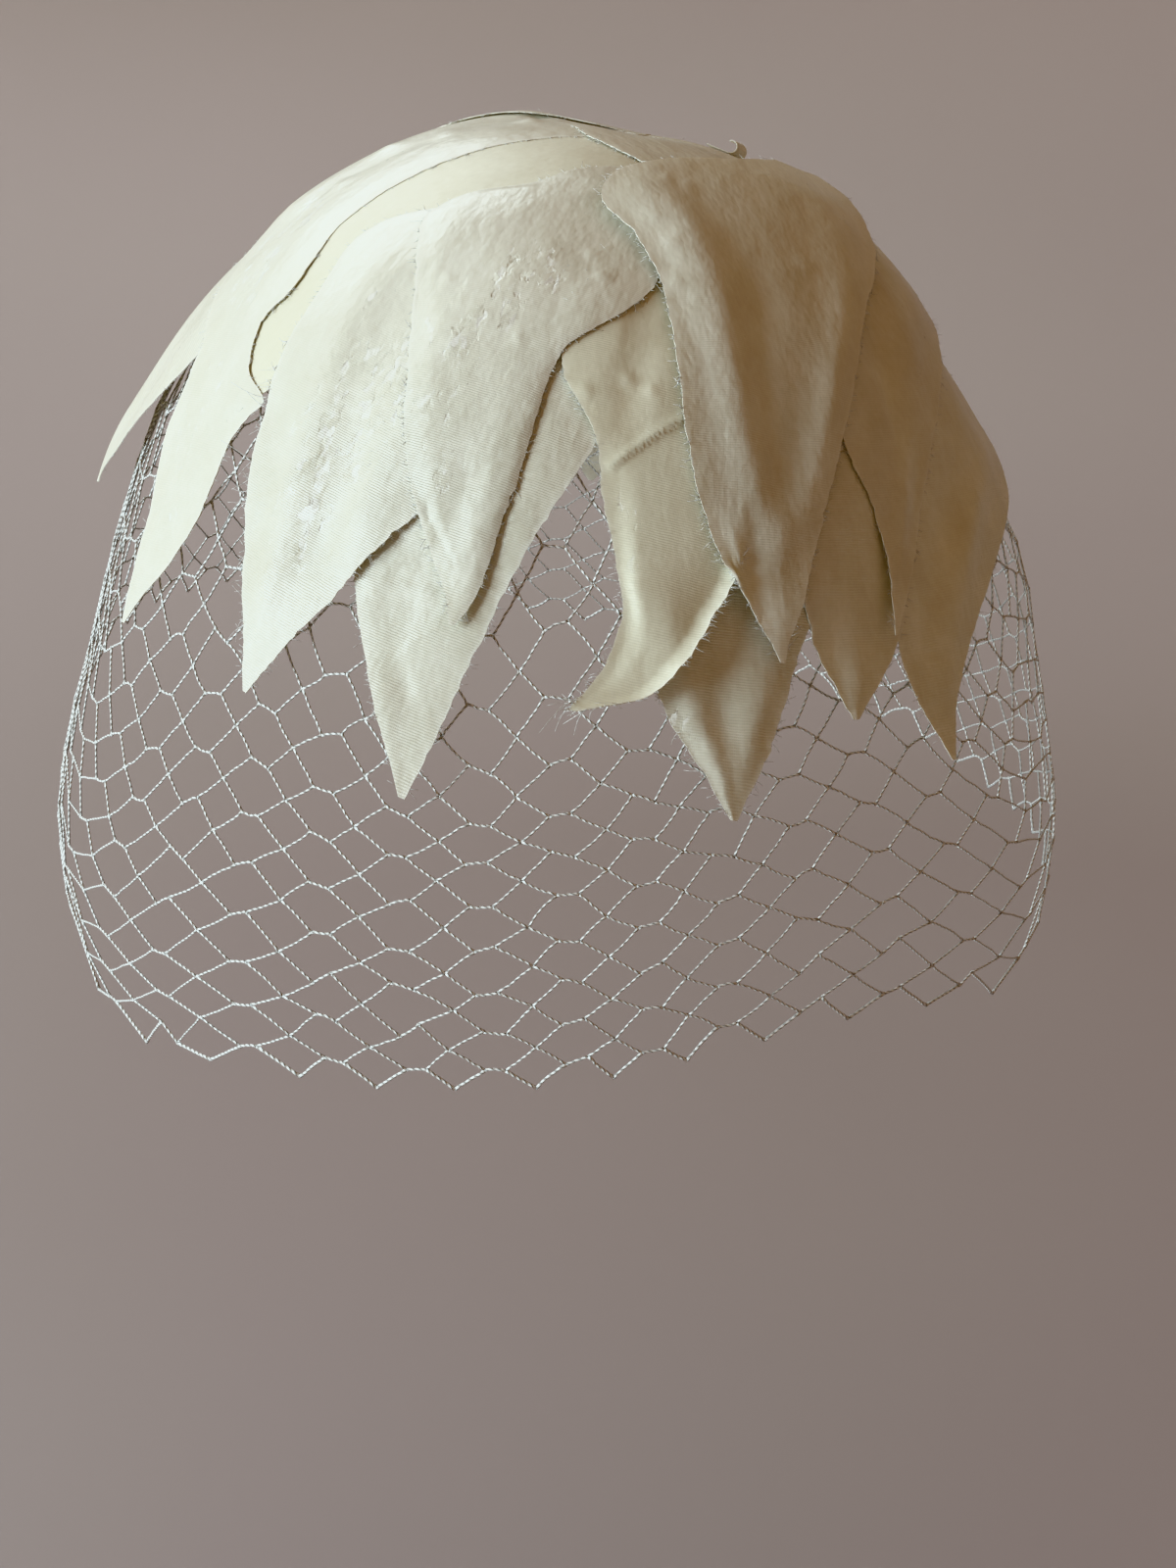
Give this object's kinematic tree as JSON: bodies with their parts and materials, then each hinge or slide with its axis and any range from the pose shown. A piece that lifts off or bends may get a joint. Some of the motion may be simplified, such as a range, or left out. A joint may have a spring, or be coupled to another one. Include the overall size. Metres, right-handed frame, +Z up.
{
  "type": "leaf-covered half hat with an all-round net veil",
  "caption": "Small round cap covered with overlapping pointed satin leaves, with an open net veil hanging all round down past the chin, worn on top of the head.",
  "frame": {"origin": "middle of the cap's ceiling, where the top of the head sits", "axes": "+Z is up as worn, -Y is the way the wearer faces, +X is the wearer's left"},
  "size_m": [0.2062, 0.2184, 0.1692],
  "materials": {
    "cap_cloth": "matt woven ivory cloth",
    "net": "open net of fine twisted ivory thread, drawn here as its outer form",
    "satin": "ivory satin with a soft sheen and raw cut edges"
  },
  "bodies": {
    "root": {"cap_base": "cap_cloth", "veil": "net", "leaf_front_far_left": "satin", "leaf_side_far_left": "satin", "leaf_crown_left": "satin", "leaf_front_left": "satin", "leaf_front_middle": "satin", "leaf_lower_left": "satin", "leaf_curling": "satin", "leaf_lower_right": "satin", "leaf_front_right": "satin", "leaf_low_right": "satin", "leaf_side_right": "satin", "leaf_side_far_right": "satin", "leaf_back_1": "satin", "leaf_back_2": "satin", "leaf_back_3": "satin", "leaf_back_4": "satin", "leaf_back_5": "satin", "leaf_back_6": "satin", "leaf_back_7": "satin", "leaf_crown_curl": "satin"}
  },
  "joints": []
}
